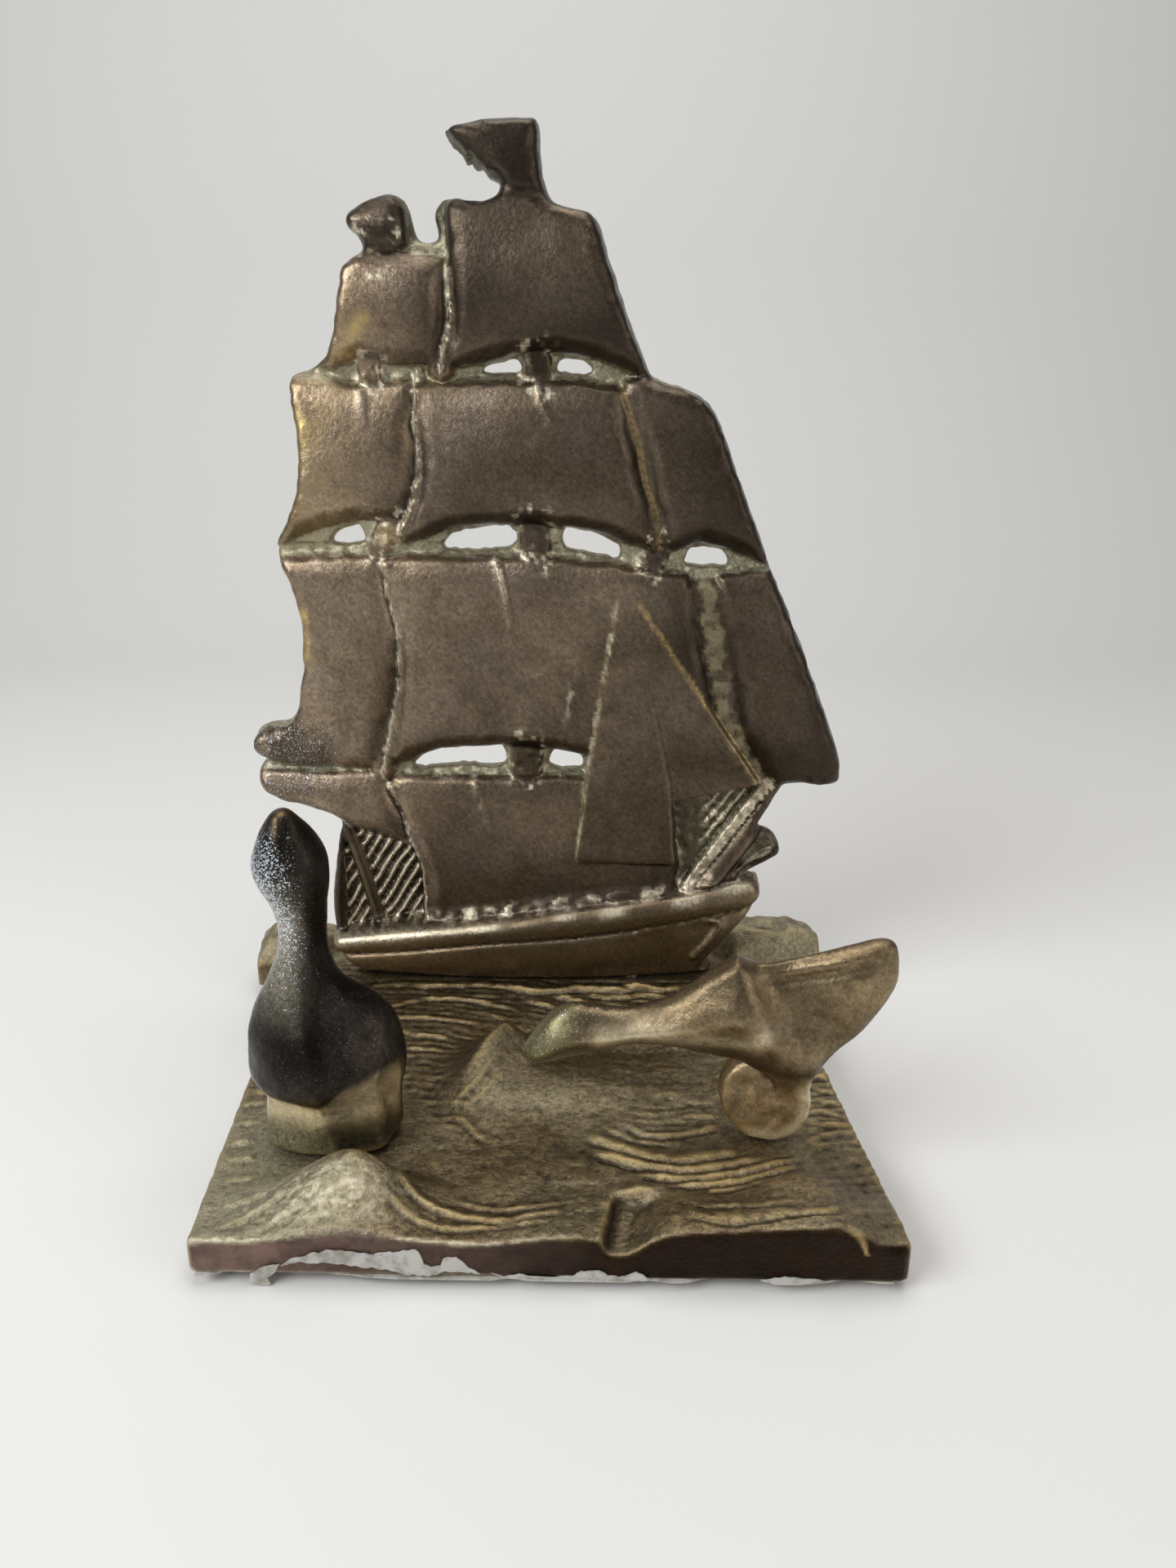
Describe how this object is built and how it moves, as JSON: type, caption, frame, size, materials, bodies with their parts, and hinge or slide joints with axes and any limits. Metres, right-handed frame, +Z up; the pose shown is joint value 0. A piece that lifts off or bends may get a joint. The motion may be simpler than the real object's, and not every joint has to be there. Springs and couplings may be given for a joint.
{
  "type": "sailing ship desk ornament",
  "caption": "Cast brass relief of a square-rigged sailing ship standing on a wave-shaped base, with stylised gulls that turn on studs; rests on a felt pad.",
  "frame": {"origin": "middle of the felt pad's underside, on the table", "axes": "+Z up, +X to the right as the viewer faces the ship, +Y away from the viewer"},
  "size_m": [0.1219, 0.0953, 0.1671],
  "materials": {
    "base_brass": "cast brass with a brown patina, worn golden on the wave tops and dull greenish grey in the hollows",
    "ship_brass": "cast brass with an even dark brown patina, rubbed on the sails and rough greenish grey on the side walls",
    "left_gull_brass": "cast brass, nearly black patina, golden where the wing edges are worn",
    "right_gull_brass": "cast brass with a brown satin patina, worn golden on the ridges and green at the beak",
    "steel": "plain zinc-plated fasteners",
    "felt": "dark felt",
    "film": "torn white lining film"
  },
  "bodies": {
    "ornament": {"sea_base": "base_brass", "ship": "ship_brass", "left_ship_screw": "steel", "right_ship_screw": "steel", "left_ship_washer": "steel", "right_ship_washer": "steel", "left_gull_washer": "steel", "right_gull_washer": "steel", "felt_pad": "felt", "lining_film": "film"},
    "left_bird": {"left_gull": "left_gull_brass", "left_gull_stud": "steel", "left_gull_nut": "steel"},
    "right_bird": {"right_gull": "right_gull_brass", "right_gull_stud": "steel", "right_gull_nut": "steel"}
  },
  "joints": [
    {"name": "left_gull_turn", "type": "hinge", "parent": "ornament", "child": "left_bird", "pos_m": [-0.0345, -0.0215, 0.008], "axis": [0, 0, 1], "range_deg": [-40, 40]},
    {"name": "right_gull_turn", "type": "hinge", "parent": "ornament", "child": "right_bird", "pos_m": [0.0352, -0.0195, 0.008], "axis": [0, 0, 1], "range_deg": [-40, 40]}
  ]
}
